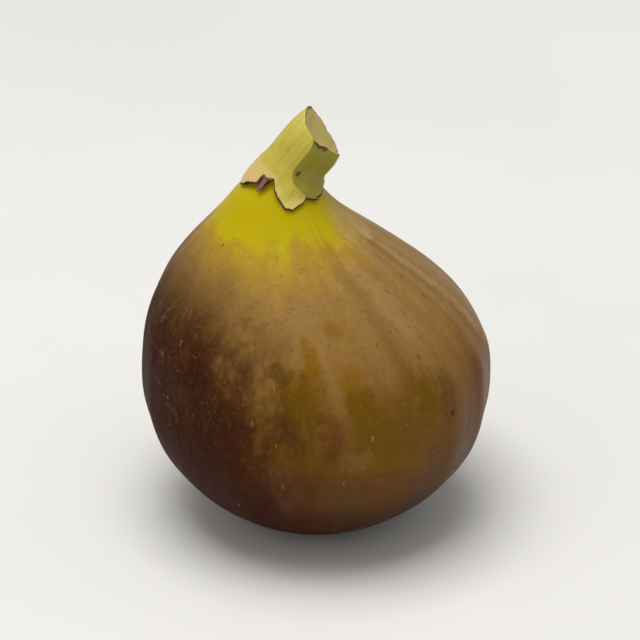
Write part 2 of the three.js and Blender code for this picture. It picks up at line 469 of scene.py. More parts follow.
@dataclass(frozen=True)
class FigShape:
    """The driving sizes of the fruit's body, in metres."""

    radius: float = 24.4 * MM
    widest: float = 21.8 * MM
    lower_half_axis: float = 23.0 * MM
    neck_height: float = 54.2 * MM
    neck_radius: float = 4.8 * MM
    shoulder_power: float = 1.34
    neck_pinch: float = 0.9 * MM
    neck_return: float = 1.5 * MM
    pinch_start: float = 49.5 * MM
    neck_dome: float = 1.3 * MM
    lean_left: float = 5.2 * MM
    lean_back: float = 0.9 * MM
    lean_start: float = 25 * MM
    lean_end: float = 50 * MM
    girths: tuple[Wave, ...] = (Wave(2, 0.012, 29), Wave(3, 0.009, 109))
    round_from: float = 14 * MM
    fade_start: float = 38 * MM
    fade_end: float = 52 * MM

    def radius_at(self, height: np.ndarray) -> np.ndarray:
        """The radius at some heights: an ellipse below the widest ring and a bell above it.

        Args:
            height: Heights above the table.

        Returns:
            Distances from the axis, without the uneven girth.
        """
        drop = np.clip((self.widest - height) / self.lower_half_axis, 0, 1)
        lower = self.radius * np.sqrt(1 - drop * drop)
        climb = np.clip((height - self.widest) / (self.neck_height - self.widest), 0, 1)
        bell = (1 + np.cos(math.pi * climb**self.shoulder_power)) / 2
        pinch = self.neck_pinch * smoothstep(height, self.pinch_start, self.neck_height)
        upper = self.neck_radius + (self.radius - self.neck_radius) * bell - pinch
        return np.where(height < self.widest, lower, upper)

    def axis_at(self, height: np.ndarray) -> np.ndarray:
        """Points on the leaning axis at some heights.

        Args:
            height: Heights above the table.

        Returns:
            The points.
        """
        lean = smoothstep(height, self.lean_start, self.lean_end)
        back = self.neck_return * smoothstep(height, self.pinch_start, self.neck_height)
        return np.stack([back - self.lean_left * lean, self.lean_back * lean, height], axis=-1)

    def surface(self, angle: np.ndarray, radius: np.ndarray, height: np.ndarray) -> np.ndarray:
        """Points at some angles and heights, at a radius that the uneven girth adds to.

        Args:
            angle: Angles around the axis, in radians.
            radius: Distances from the axis.
            height: Heights above the table.

        Returns:
            The points.
        """
        fade = 1 - smoothstep(height, self.fade_start, self.fade_end)
        share = smoothstep(height, 0, self.round_from) * fade
        reach = radius * (1 + waves_at(angle, self.girths) * share)
        out = np.stack([np.cos(angle) * reach, np.sin(angle) * reach, np.zeros_like(reach)], axis=-1)
        return self.axis_at(height) + out


@dataclass(frozen=True)
class Patch:
    """A mark on the skin, in degrees and millimetres: its place, half sizes, colour and edge."""

    angle: float
    height: float
    half_width: float
    half_height: float
    colour: Colour
    strength: float
    ragged: float = 0.0


OLIVE = tint(110, 76, 0)
OCHRE = tint(128, 88, 4)
DARK_OLIVE = tint(88, 60, 6)
RUST = tint(96, 54, 12)
CORK = tint(180, 150, 98)
PALE_TAN = tint(160, 120, 64)
BARK = tint(96, 62, 30)


@dataclass(frozen=True)
class SkinFinish:
    """The ripe skin: a green-gold neck, tan shoulders, olive patches and a dark, red-brown left side,
    partly painted shade.

    The facings are angles around the axis: of the front, the paler side and the dark side with its painted
    shade.
    """

    # The two lowest colours: the skin's own dark brown, painted darker as shade towards the bottom.
    base: Colour = tint(48, 28, 16)
    low_belly_and_shade: Colour = tint(66, 36, 8)
    belly: Colour = tint(112, 72, 20)
    shoulder: Colour = tint(138, 101, 47)
    upper: Colour = tint(148, 113, 56)
    neck_foot: Colour = tint(168, 134, 40)
    neck: Colour = tint(184, 164, 0)
    plum_and_shade: Colour = tint(46, 9, 2)
    russet_and_shade: Colour = tint(68, 29, 6)
    mauve: Colour = tint(132, 90, 62)
    bloom: Colour = tint(162, 136, 102)
    vein: Colour = tint(176, 150, 100)
    speck: Colour = tint(62, 38, 16)
    eye_ring: Colour = tint(92, 42, 28)
    heights: tuple[float, ...] = (0.05, 0.18, 0.42, 0.60, 0.755, 0.82, 0.862)
    front_facing: float = 256
    pale_facing: float = 338
    shaded_dark_facing: float = 192
    eye_ring_radii: tuple[float, float] = (4.0 * MM, 8.2 * MM)
    eye_ring_heights: tuple[float, float] = (0.4 * MM, 1.6 * MM)
    relief_depth: float = 0.20 * MM
    patches: tuple[Patch, ...] = (
        Patch(249.0, 20.5, 3.6, 8.0, RUST, 0.50, 1.0),
        Patch(266.0, 30.2, 5.0, 3.8, OLIVE, 1.00, 1.0),
        Patch(272.3, 34.6, 1.3, 2.2, OCHRE, 0.85, 1.0),
        Patch(257.0, 36.4, 3.6, 2.6, tint(112, 74, 36), 0.50, 1.0),
        Patch(259.8, 33.0, 2.4, 1.3, DARK_OLIVE, 0.50, 1.0),
        Patch(262.5, 24.0, 5.2, 6.0, OLIVE, 0.85, 1.0),
        Patch(284.5, 32.1, 2.6, 2.0, OCHRE, 0.85, 1.0),
        Patch(286.5, 29.0, 2.8, 2.6, OLIVE, 0.90, 1.0),
        Patch(291.0, 25.6, 4.4, 4.8, OLIVE, 1.00, 1.0),
        Patch(309.5, 26.5, 3.8, 5.4, OLIVE, 0.90, 1.0),
        Patch(300.0, 20.5, 7.0, 4.6, OLIVE, 0.80, 1.0),
        Patch(285.5, 37.5, 1.5, 0.9, OCHRE, 0.60, 1.0),
        Patch(318.0, 26.5, 1.5, 5.0, DARK_OLIVE, 0.55, 1.0),
        Patch(248.5, 30.4, 0.9, 4.2, DARK_OLIVE, 0.60, 1.0),
        Patch(275.2, 24.6, 1.8, 4.2, RUST, 0.80, 1.0),
        Patch(338.0, 23.0, 2.6, 7.0, RUST, 0.65, 1.0),
        Patch(296.0, 15.5, 6.0, 2.6, tint(92, 46, 12), 0.50, 1.0),
        Patch(282.5, 20.6, 2.4, 1.8, PALE_TAN, 0.20, 1.0),
        Patch(278.0, 31.0, 0.9, 4.0, PALE_TAN, 0.22, 1.6),
        Patch(315.5, 39.5, 1.6, 5.0, tint(174, 144, 98), 0.24, 1.0),
        # The next two marks are partly pale skin and partly painted highlight: along a rib of the right
        # shoulder and at the neck's right rim.
        Patch(352.0, 37.0, 0.9, 8.0, tint(178, 152, 122), 0.30, 1.2),
        Patch(352.0, 46.5, 3.6, 3.4, tint(186, 160, 96), 0.50, 1.0),
        Patch(18.0, 27.0, 6.0, 6.0, OLIVE, 0.75, 1.0),
        Patch(58.0, 31.0, 4.0, 5.0, OLIVE, 0.70, 1.0),
        Patch(92.0, 24.0, 7.5, 6.0, OLIVE, 0.75, 1.0),
        Patch(140.0, 28.0, 4.4, 6.4, OLIVE, 0.65, 1.0),
        Patch(248.5, 25.9, 0.3, 0.7, CORK, 0.60, 0.2),
        Patch(288.2, 24.1, 0.3, 0.6, CORK, 0.28, 0.2),
        Patch(257.3, 31.2, 0.3, 0.7, CORK, 0.30, 0.2),
        Patch(258.5, 16.4, 0.3, 0.7, CORK, 0.32, 0.2),
        Patch(318.8, 24.3, 0.5, 0.7, tint(50, 30, 6), 0.80),
        Patch(313.2, 32.8, 0.4, 0.5, BARK, 0.60),
        Patch(321.5, 39.6, 0.3, 0.4, BARK, 0.50),
        Patch(132.0, 30.0, 0.3, 0.7, CORK, 0.45, 0.2),
    )

    def material(self, shape: FigShape) -> bpy.types.Material:
        """Builds the skin's material.

        Args:
            shape: The fruit's sizes.

        Returns:
            The material. It reads "flow" from the mesh: cosine, sine and share of the neck's height.
        """
        g = Shader("fig_skin")
        flow = g.carried("flow")
        place = g.place()
        east, north, height = g.parts(flow)
        broad = g.noise(flow, (2.2, 2.2, 2.4), 1.5, 0.5, 3.1)
        blotch = g.noise(place, (230.0, 230.0, 120.0), 5.0, 0.55, 7.7)
        streak = g.noise(flow, (6.5, 6.5, 2.0), 1.6, 0.5, 12.4)
        fine = g.noise(place, (800.0, 800.0, 380.0), 3.0, 0.55, 1.9)
        cloud = g.noise(place, 140.0, 4.0, 0.6, 2.2)
        mottle = g.noise(place, 460.0, 5.0, 0.65, 6.6)
        grain = g.noise(place, 1500.0, 3.0, 0.6, 0.4)

        # The ground: colours by height, with wavy borders that hang lower at the front of the neck. It
        # darkens towards the bottom, partly the skin's own colour and partly painted shade.
        wavy = height + (broad - 0.5) * 0.08 + (cloud - 0.5) * 0.13 + (mottle - 0.5) * 0.09
        front = self._facing(east, north, self.front_facing)
        wavy += front.rise(-0.3, 0.8) * 0.05 + front.rise(0.86, 1.0) * height.rise(0.86, 0.80) * 0.02 - 0.05
        lower = (self.base, self.low_belly_and_shade, self.belly, self.shoulder)
        colours = (*lower, self.upper, self.neck_foot, self.neck)
        colour = g.ramp(wavy, list(zip(self.heights, colours)))

        # Olive on the belly.
        belly = height.hump(0.14, 0.30, 0.52, 0.66)
        ragged = (blotch - 0.5) * 3.0 + (fine - 0.5) * 1.2 + (mottle - 0.5) * 2.4
        spread = (ragged + (broad - 0.5) * 1.4).rise(-0.10, 0.90) * belly
        colour = g.mix(spread * 0.50, colour, OLIVE)

        # Mauve clouds on the shoulders, and pale and dark stripes on the paler side.
        mauve = ((cloud - 0.5) * 2.2 + (broad - 0.5) * 1.6 + (mottle - 0.5) * 0.6).rise(0.0, 0.7)
        colour = g.mix(mauve * height.hump(0.42, 0.6, 0.76, 0.86) * 0.46, colour, self.mauve)
        side = self._facing(east, north, self.pale_facing).rise(0.55, 0.98)
        side *= height.hump(0.42, 0.55, 0.86, 0.96)
        stripes = ((streak - 0.5) * 3.2 + (fine - 0.5) * 0.5).rise(-0.1, 0.8)
        colour = g.mix(stripes * side * 0.38, colour, self.bloom)
        colour = g.mix(((0.5 - streak) * 3.0).rise(0.1, 0.8) * side * 0.30, colour, self.plum_and_shade)

        # The patches that lie in places of their own.
        for patch in self.patches:
            mask = self._oval(east, north, height, patch, shape, ragged)
            colour = g.mix(mask * patch.strength, colour, patch.colour)

        # The dark side, russet at its border and plum further in: the skin's own red-brown, painted darker
        # as shade.
        left = self._facing(east, north, self.shaded_dark_facing) - (height - 0.40) * 0.6
        left += height.rise(0.28, 0.04) * 0.2
        left += (broad - 0.5) * 0.3 + (blotch - 0.5) * 0.8 + (mottle - 0.5) * 0.5 + (fine - 0.5) * 0.2
        below_neck = height.hump(-0.03, 0.10, 0.58, 0.84)
        dark = left.rise(0.08, 0.62) * below_neck
        colour = g.mix(dark * 0.86, colour, self.russet_and_shade)
        colour = g.mix(left.rise(0.36, 0.90) * below_neck * 0.93, colour, self.plum_and_shade)

        # Fine grain and specks.
        warm = (mottle - 0.5) * 1.5 + (fine - 0.5) * 0.6 + (blotch - 0.5) * 0.6
        colour = g.mix(warm.rise(0.05, 0.8) * height.hump(0.1, 0.6, 0.72, 0.88) * 0.34, colour, self.vein)
        colour = g.mix((warm * -1).rise(0.05, 0.8) * height.rise(0.90, 0.76) * 0.38, colour, RUST)
        colour = g.mix((grain - 0.5).rise(0.04, 0.26) * height.rise(0.90, 0.80) * 0.30, colour, self.speck)
        pale_grain = (0.5 - grain).rise(0.04, 0.26) * height.hump(0.1, 0.6, 0.8, 0.95)
        colour = g.mix(pale_grain * 0.12, colour, self.vein)
        spots = g.out(g.node("ShaderNodeTexVoronoi", {"feature": "F1"}, {"Vector": place, "Scale": 620.0}))
        colour = g.mix(spots.rise(0.15, 0.08) * cloud.rise(0.54, 0.66) * 0.35, colour, self.speck)

        # The darker ring around the eye.
        x, y, z = g.parts(place)
        inner, outer = self.eye_ring_radii
        low, high = self.eye_ring_heights
        ring = ((x * x + y * y) ** 0.5).rise(outer, inner) * z.rise(high, low)
        colour = g.mix((ring + (mottle - 0.5) * 0.8).rise(0.2, 1.0) * 0.8, colour, self.eye_ring)

        roughness = (cloud - 0.5) * 0.14 + (mottle - 0.5) * 0.12 + mauve * 0.06 + dark * 0.26 + 0.44
        relief = fine * 0.17 + grain * 0.12 + mottle * 0.40 + cloud * 0.31
        constants = {
            "Subsurface Weight": 0.08,
            "Subsurface Radius": (1.0, 0.55, 0.25),
            "Subsurface Scale": 1.4 * MM,
            "Specular IOR Level": 0.14,
            "Specular Tint": (1.0, 0.80, 0.52, 1.0),
        }
        return g.finish(colour, roughness, relief, self.relief_depth, constants)

    @staticmethod
    def _facing(east: Wire, north: Wire, degrees: float) -> Wire:
        """How much the skin faces one way: 1 straight at it, 0 at right angles to it."""
        return east * math.cos(math.radians(degrees)) + north * math.sin(math.radians(degrees))

    def _oval(
        self, east: Wire, north: Wire, height: Wire, patch: Patch, shape: FigShape, ragged: Wire
    ) -> Wire:
        """The mask of one patch.

        Args:
            east: The cosine of the angle around the axis.
            north: The sine of that angle.
            height: The share of the neck's height.
            patch: The patch.
            shape: The fruit's sizes.
            ragged: Noise around 0, which breaks up the patch's edge.

        Returns:
            A mask that is 1 in the middle of the patch and 0 outside it.
        """
        middle = patch.height * MM
        radius = float(shape.radius_at(np.array(middle)))
        aside = self._facing(east, north, patch.angle + 90) * (radius / (patch.half_width * MM))
        above = (height - middle / shape.neck_height) * (shape.neck_height / (patch.half_height * MM))
        near_side = self._facing(east, north, patch.angle).rise(0.0, 0.1)
        spread = aside * aside + above * above - ragged * patch.ragged
        return spread.rise(1.0 + 0.5 * patch.ragged, 0.25 - 0.2 * patch.ragged) * near_side


@dataclass
class Fruit:
    """The fig's body: a smooth closed skin, on which ribs, veins, folds and dents grow."""

    shape: FigShape
    finish: SkinFinish
    rest_inner_radius: float = 5.0 * MM
    socket_radius: float = 3.6 * MM
    dish_depth: float = 0.9 * MM
    socket_depth: float = 2.3 * MM
    socket_shares: tuple[float, ...] = (0.4, 0.75, 0.97)
    wall_shares: tuple[float, ...] = (0.1, 0.5, 0.9)
    rib_count: int = 18
    rib_height: float = 0.28 * MM
    rib_sharpness: float = 1.6
    rib_uneven: Wave = Wave(4, 0.3, 63)
    rib_wanders: tuple[Wave, ...] = (Wave(3, 0.5, 40), Wave(5, 0.5, 0))
    vein_height: float = 0.05 * MM
    fold_height: float = 0.18 * MM
    dent_depth: float = 0.40 * MM
    turns: int = 440
    dish_rows: int = 8
    lower_rows: int = 84
    upper_rows: int = 104
    dome_rows: int = 5

    def outline(self) -> np.ndarray:
        """Works out the skin's rings, from the middle of the eye's socket to the neck's top.

        Returns:
            The radius and the height of each ring.
        """
        s = self.shape
        socket = [(self.socket_radius * t, self.socket_depth) for t in self.socket_shares]
        depths = lerp(self.socket_depth, self.dish_depth, self.wall_shares)
        walls = [(self.socket_radius, depth) for depth in depths]
        shares = np.linspace(0.1, 1, self.dish_rows)
        dish_radii = lerp(self.socket_radius, self.rest_inner_radius, shares)
        dish = list(zip(dish_radii, self.dish_depth * (1 - smoothstep(shares, 0, 1))))
        swing = np.linspace(math.acos(s.widest / s.lower_half_axis), math.pi / 2, self.lower_rows)
        low = np.maximum(0, s.widest - s.lower_half_axis * np.cos(swing))
        heights = np.concatenate([low[:-1], np.linspace(s.widest, s.neck_height, self.upper_rows)])
        side = list(zip(s.radius_at(heights), heights))
        top = side[-1][0]
        bend = np.linspace(0, math.pi / 2, self.dome_rows + 2)[1:-1]
        dome = list(zip(top * np.cos(bend), s.neck_height + s.neck_dome * np.sin(bend)))
        return np.array(socket + walls + dish + side + dome, dtype=float)

    def build(self) -> bpy.types.Object:
        """Makes the smooth skin and lets its relief grow.

        Returns:
            The skin as one closed object.
        """
        s = self.shape
        radii, heights = self.outline().T
        turn = np.linspace(0, 2 * math.pi, self.turns, endpoint=False)
        radius, angle = np.meshgrid(radii, turn, indexing="ij")
        height = np.broadcast_to(heights[:, None], angle.shape)
        rings = s.surface(angle, radius, height)
        flow = np.stack([np.cos(angle), np.sin(angle), height / s.neck_height], axis=-1)
        start = s.axis_at(np.array(self.socket_depth))
        end = s.axis_at(np.array(s.neck_height + s.neck_dome))
        skin = closed_skin("fig_skin", start, rings, end, {"flow": flow})
        self.grow_relief(skin)
        return skin

    def grow_relief(self, skin: bpy.types.Object) -> None:
        """Grows ribs, veins, folds of the neck and shallow dents on the skin.

        Args:
            skin: The smooth skin. Its mesh is replaced.
        """
        s = self.shape
        g = Growth(
            "fig_relief",
            {
                "Ribs": self.rib_count,
                "Rib height": self.rib_height,
                "Vein height": self.vein_height,
                "Fold height": self.fold_height,
                "Dent depth": self.dent_depth,
            },
        )
        # The ribs stand out level, away from the axis.
        flow = g.carried("flow")
        east, north, height = g.parts(flow)
        angle = g.maths("ARCTAN2", north, east)
        wander = sum((wave.drawn(angle) for wave in self.rib_wanders), angle * g.given("Ribs"))
        wave = ((wander.cosine() + 1) * 0.5) ** self.rib_sharpness
        rib = wave * (self.rib_uneven.drawn(angle) + (1 - self.rib_uneven.strength))
        tall = s.neck_height
        rib_share = height.hump(0.0, s.round_from / tall, s.fade_start / tall, s.fade_end / tall)
        ribbed = g.push_out(g.given(), g.vector(east, north, 0.0), rib * rib_share * g.given("Rib height"))

        # The finer relief stands out along the normals, and fades where the stalk covers the neck.
        place = g.out(g.node("GeometryNodeInputPosition"))
        veins = 0.5 - abs(g.noise(flow, (15.0, 15.0, 1.6), 2.0, 0.5, 4.4) - 0.5) * 4
        folds = g.noise(flow, (8.0, 8.0, 2.0), 2.0, 0.5, 9.1) - 0.5
        dents = g.noise(place, (75.0, 75.0, 60.0), 1.0, 0.4, 6.0) - 0.5
        firm = height.rise(0.03, 0.16)
        push = veins * g.given("Vein height") * firm * height.rise(0.94, 0.62)
        push += folds * g.given("Fold height") * height.rise(0.55, 0.85)
        push += dents * g.given("Dent depth") * firm
        normal = g.out(g.node("GeometryNodeInputNormal"))
        grown = g.push_out(ribbed, normal, push * height.rise(0.975, 0.92))
        g.grow(skin, grown, self.finish.material(s))

    def dress(self) -> bpy.types.Object:
        """Builds the fruit and puts it in its solid's place.

        Returns:
            The skin.
        """
        skin = self.build()
        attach(skin, BODY)
        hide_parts("fruit")
        return skin


@dataclass(frozen=True)
class FleckFinish:
    """The pale, corky flecks on the skin."""

    cork: Colour = tint(138, 106, 56)
    dark: Colour = tint(98, 66, 30)
    relief_depth: float = 0.05 * MM

    def material(self) -> bpy.types.Material:
        """Builds the flecks' material.

        Returns:
            The material.
        """
        g = Shader("fig_flecks")
        grain = g.noise(g.place(), 2200.0, 3.0, 0.6, 3.3)
        colour = g.mix(grain.rise(0.35, 0.65), self.dark, self.cork)
        return g.finish(colour, grain * 0.3 + 0.5, grain, self.relief_depth, {"Specular IOR Level": 0.15})


@dataclass
class Flecks:
    """Small raised flecks that are scattered over the skin and stretched along its ribs."""

    finish: FleckFinish
    half_width: float = 0.13 * MM
    half_length: float = 0.34 * MM
    half_height: float = 0.035 * MM
    sizes: tuple[float, float] = (0.5, 1.3)
    stretches: tuple[float, float] = (0.6, 1.3)
    density: float = 60000.0
    spacing: float = 2.6 * MM
    seed: int = 11
    sides: int = 10

    def build(self, skin: bpy.types.Object) -> bpy.types.Object:
        """Scatters the flecks.

        Args:
            skin: The fruit's skin, which they sit on.

        Returns:
            The flecks as one object.
        """
        flecks = new_piece("fig_flecks", skin.data.copy())
        g = Growth("fleck_scatter", {"Spacing": self.spacing, "Density": self.density, "Seed": self.seed})
        flow = g.carried("flow")
        height = g.parts(flow)[2]
        crowd = height.hump(0.12, 0.3, 0.7, 0.9) * g.noise(flow, 3.0, 2.0, 0.5, 8.8).rise(0.4, 0.62)
        sockets = {
            "Mesh": g.given(),
            "Distance Min": g.given("Spacing"),
            "Density Max": g.given("Density"),
            "Density Factor": crowd,
            "Seed": g.given("Seed"),
        }
        points = g.node("GeometryNodeDistributePointsOnFaces", {"distribute_method": "POISSON"}, sockets)
        along_ribs = g.node(
            "FunctionNodeAlignRotationToVector",
            {"axis": "Y", "pivot_axis": "Z"},
            {"Rotation": g.out(points, 2), "Vector": (0.0, 0.0, 1.0)},
        )
        ball = {"Segments": self.sides, "Rings": self.sides // 2, "Radius": 1.0}
        dome = g.out(g.node("GeometryNodeMeshUVSphere", None, ball))
        smooth = g.out(g.node("GeometryNodeSetShadeSmooth", None, {"Geometry": dome}))
        size = g.chance(*self.sizes, g.given("Seed"))
        length = size * g.chance(*self.stretches, g.given("Seed") + 1)
        scale = g.vector(size * self.half_width, length * self.half_length, self.half_height)
        sockets = {
            "Points": g.out(points),
            "Instance": smooth,
            "Rotation": g.out(along_ribs),
            "Scale": scale,
        }
        placed = g.out(g.node("GeometryNodeInstanceOnPoints", None, sockets))
        g.grow(flecks, placed, self.finish.material())
        return flecks

    def dress(self, skin: bpy.types.Object) -> bpy.types.Object:
        """Builds the flecks and lets them ride with the fruit.

        Args:
            skin: The fruit's skin, which they sit on.

        Returns:
            The flecks as one object.
        """
        flecks = self.build(skin)
        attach(flecks, BODY)
        return flecks


@dataclass(frozen=True)
class StalkFinish:
    """The stalk: pale green, a darker flat side that is partly painted shade, dry brown hems and a tan cut.
    """

    pale: Colour = tint(214, 196, 98)
    green: Colour = tint(186, 172, 44)
    dull: Colour = tint(154, 144, 20)
    flat_side_green_and_shade: Colour = tint(140, 132, 18)
    flap: Colour = tint(216, 182, 114)
    hem: Colour = tint(54, 14, 4)
    shred: Colour = tint(128, 98, 82)
    cut: Colour = tint(182, 164, 88)
    cut_rim: Colour = tint(84, 48, 20)
    core: Colour = tint(162, 140, 70)
    spot: Colour = tint(84, 42, 10)
    relief_depth: float = 0.16 * MM

    def material(self) -> bpy.types.Material:
        """Builds the stalk's material.

        Returns:
            The material. It reads from the mesh "flow" (cosine, sine, share of the stalk's line),
            "wear" (millimetres from the hem, share of the way from the cut's rim to its middle,
            brown spots) and "tone" (flat side, left flap, dry shred).
        """
        g = Shader("fig_stalk")
        flow = g.carried("flow")
        place = g.place()
        along = g.parts(flow)[2]
        hem, inset, spots = g.parts(g.carried("wear"))
        flat, flap, shred = g.parts(g.carried("tone"))
        fine = g.noise(flow, (14.0, 14.0, 1.5), 4.0, 0.6, 2.7)
        hair = g.noise(flow, (46.0, 46.0, 2.0), 3.0, 0.55, 8.1)
        cloud = g.noise(place, 420.0, 4.0, 0.6, 1.3)
        grain = g.noise(place, 2600.0, 3.0, 0.6, 0.9)

        # The outside: greener half way along, with its flat side darkened partly as painted shade, its pale
        # flap, fibres and grain.
        greening = (along + (cloud - 0.5) * 0.5).hump(0.2, 0.45, 0.7, 1.0)
        colour = g.mix(greening * 0.8, self.pale, self.green)
        colour = g.mix((cloud + (fine - 0.5) * 0.5).rise(0.5, 0.75) * greening * 0.6, colour, self.dull)
        # The flat side: a darker green, painted darker still as shade.
        colour = g.mix((flat + (cloud - 0.5) * 0.35).rise(0.3, 0.7) * 0.92, colour, self.flat_side_green_and_shade)
        colour = g.mix((flap + (fine - 0.5) * 0.3).rise(0.35, 0.8) * 0.85, colour, self.flap)
        colour = g.mix((hair - 0.5).rise(0.02, 0.25) * 0.30, colour, self.pale)
        colour = g.mix((grain - 0.5).rise(0.10, 0.28) * 0.25, colour, self.green)

        # The cut: a ring of core, a brown rim and the ends of the fibres.
        fibres = g.noise(place, 1900.0, 2.0, 0.6, 4.0)
        rings = inset + (fibres - 0.5) * 0.12
        face = g.mix(rings.hump(0.28, 0.38, 0.45, 0.55) * 0.45, self.cut, self.core)
        face = g.mix(rings.rise(0.14, 0.01) * 0.9, face, self.cut_rim)
        face = g.mix((fibres - 0.5).rise(0.08, 0.25) * 0.35, face, self.core)
        on_cut = inset.rise(0.001, 0.02)
        colour = g.mix(on_cut, colour, face)

        # Brown spots, the dry hem and the dry shred.
        mark = (spots + (cloud - 0.5) * 0.25).rise(0.35, 0.6) * inset.rise(0.10, 0.03)
        colour = g.mix(mark * 0.9, colour, self.spot)
        edge = hem + (fine - 0.5) * 0.22 + (cloud - 0.5) * 0.16
        dry = edge.rise(0.36, 0.14).over(shred.rise(0.25, 0.4))
        colour = g.mix(dry, colour, self.hem)
        colour = g.mix((shred + (hair - 0.5) * 0.2).hump(0.42, 0.52, 0.64, 0.78) * 0.85, colour, self.shred)

        roughness = (cloud - 0.5) * 0.2 + dry * 0.25 + on_cut * 0.2 + 0.5
        relief = fine * 0.35 + hair * 0.35 + grain * 0.12 + fibres * on_cut * 0.3
        constants = {
            "Subsurface Weight": 0.15,
            "Subsurface Radius": (0.8, 0.8, 0.3),
            "Subsurface Scale": 1.2 * MM,
            "Specular IOR Level": 0.4,
        }
        return g.finish(colour, roughness, relief, self.relief_depth, constants)


@dataclass(frozen=True)
class Bract:
    """A lobe of the collar: the angle of its tip, its width to both sides in degrees, its lowest height."""

    tip: float
    before: float
    after: float
    low: float
    roundness: float


@dataclass(frozen=True)
class Spot:
    """A brown spot on the stalk: its angle, its place along the stalk and its half sizes.

    The place is a share of the stalk's line, or None for a mark on the edge of the cut.
    """

    facing: float
    along: float | None
    half_turn: float
    half_share: float


@dataclass
class Stalk:
    """The cut stalk, which bends to one side, and the bracts that lap over the neck."""

    shape: FigShape
    finish: StalkFinish
    line: tuple[Triple, ...] = (
        (-5.2 * MM, 0.9 * MM, 49.0 * MM),
        (-5.2 * MM, 0.9 * MM, 52.2 * MM),
        (-2.6 * MM, 0.7 * MM, 54.4 * MM),
        (2.8 * MM, 0.3 * MM, 61.8 * MM),
    )
    tilt: float = 50
    tilt_range: tuple[float, float] = (0.15, 0.95)
    foot_radius: float = 5.6 * MM
    body_radius: float = 4.25 * MM
    body_range: tuple[float, float] = (0.25, 0.6)
    end_radius: float = 3.5 * MM
    end_range: tuple[float, float] = (0.75, 1.0)
    ridges: tuple[Wave, ...] = (Wave(5, 0.02, 34), Wave(13, 0.006, 10), Wave(31, 0.004, 200))
    flat_facing: float = 302
    flat_foot_turn: float = 30
    flat_start_share: float = 0.98
    flat_share: float = 0.77
    flat_end_share: float = 0.52
    flat_corner: float = 26
    cut_middle: Triple = (0.57 * MM, 0.57 * MM, 59.03 * MM)
    cut_way: Triple = (0.765, -0.17, 0.62)
    cut_waves: tuple[Wave, ...] = (
        Wave(1, 0.50 * MM, 136),
        Wave(2, 0.24 * MM, 46),
        Wave(7, 0.07 * MM, 80),
        Wave(19, 0.03 * MM, 10),
    )
    cut_hollow: float = 0.3 * MM
    bracts: tuple[Bract, ...] = (
        Bract(286, 46, 60, 49.9 * MM, 1.4),
        Bract(325, 40, 48, 50.4 * MM, 2.8),
        Bract(186, 56, 60, 51.2 * MM, 0.9),
        Bract(72, 62, 60, 50.4 * MM, 1.7),
        Bract(230, 10, 11, 51.8 * MM, 1.0),
    )
    spots: tuple[Spot, ...] = (
        Spot(273, 0.56, 4.0, 0.026),
        Spot(351, 0.16, 5.0, 0.030),
        Spot(279, None, 24.0, 0.016),
        Spot(296, None, 10.0, 0.028),
    )
    flap_facing: float = 200
    flap_edge: tuple[float, float] = (40, 62)
    flap_end: tuple[float, float] = (0.42, 0.56)
    shred_facing: float = 231
    shred_core: tuple[float, float] = (2, 6)
    shred_edge: tuple[float, float] = (8, 12)
    shred_end: tuple[float, float] = (0.40, 0.46)
    notch_height: float = 53.9 * MM
    hem_tears: tuple[Wave, ...] = (
        Wave(7, 0.09 * MM, 20),
        Wave(17, 0.06 * MM, 130),
        Wave(31, 0.04 * MM, 250),
        Wave(47, 0.03 * MM, 75),
    )
    bract_thickness: float = 0.34 * MM
    bract_gap: float = 0.06 * MM
    bract_blend: float = 20
    turns: int = 320
    dome_rows: int = 4
    lining_rows: int = 8
    outer_rows: int = 110
    outer_crowding: float = 1.25
    cut_rows: int = 26
    halvings: int = 26

    def hem_height(self, angle: np.ndarray) -> np.ndarray:
        """The height of the bracts' torn hem.

        Args:
            angle: Angles around the stalk's line, in radians.

        Returns:
            Heights above the table.
        """
        hem = np.full_like(angle, self.notch_height)
        for bract in self.bracts:
            off = turned(np.degrees(angle), bract.tip)
            width = np.where(off < 0, bract.before, bract.after)
            hang = np.maximum(0, 1 - np.abs(off / width) ** bract.roundness)
            hem = np.minimum(hem, lerp(self.notch_height, bract.low, hang))
        return hem + waves_at(angle, self.hem_tears)

    def radius_at(self, angle: np.ndarray, along: np.ndarray) -> np.ndarray:
        """The distance from the stalk's line to its surface, which is less on its flat side.

        Args:
            angle: Angles around the stalk's line, in radians.
            along: Shares of the stalk's line.

        Returns:
            The distances.
        """
        body = smoothstep(along, *self.body_range)
        even = lerp(self.foot_radius, self.body_radius, body)
        ridge = 1 + body * waves_at(angle, self.ridges)
        rounded = lerp(even, self.end_radius, smoothstep(along, *self.end_range)) * ridge
        return rounded * (1 + self.flatness(angle, along) ** self.flat_corner) ** (-1 / self.flat_corner)

    def flatness(self, angle: np.ndarray, along: np.ndarray) -> np.ndarray:
        """How far the round stalk would reach, against its flat side.

        Args:
            angle: Angles around the stalk's line, in radians.
            along: Shares of the stalk's line.

        Returns:
            The shares, which are more than 1 where the flat side takes something off.
        """
        body = smoothstep(along, *self.body_range)
        middle = self.flat_facing + self.flat_foot_turn * (1 - body)
        facing = np.maximum(np.cos(angle - np.radians(middle)), 1e-3)
        share = lerp(self.flat_start_share, self.flat_share, body)
        share = lerp(share, self.flat_end_share, smoothstep(along, *self.end_range))
        return facing / share

    def clear_radius(self, height: np.ndarray) -> np.ndarray:
        """The least distance from the neck's axis that leaves room for the neck and a bract.

        Args:
            height: Heights above the table.

        Returns:
            The distances.
        """
        cover = self.bract_gap + self.bract_thickness
        over = np.clip((height - self.shape.neck_height) / (self.shape.neck_dome + cover), 0, 1)
        return (self.shape.radius_at(height) + cover) * np.sqrt(1 - over * over)

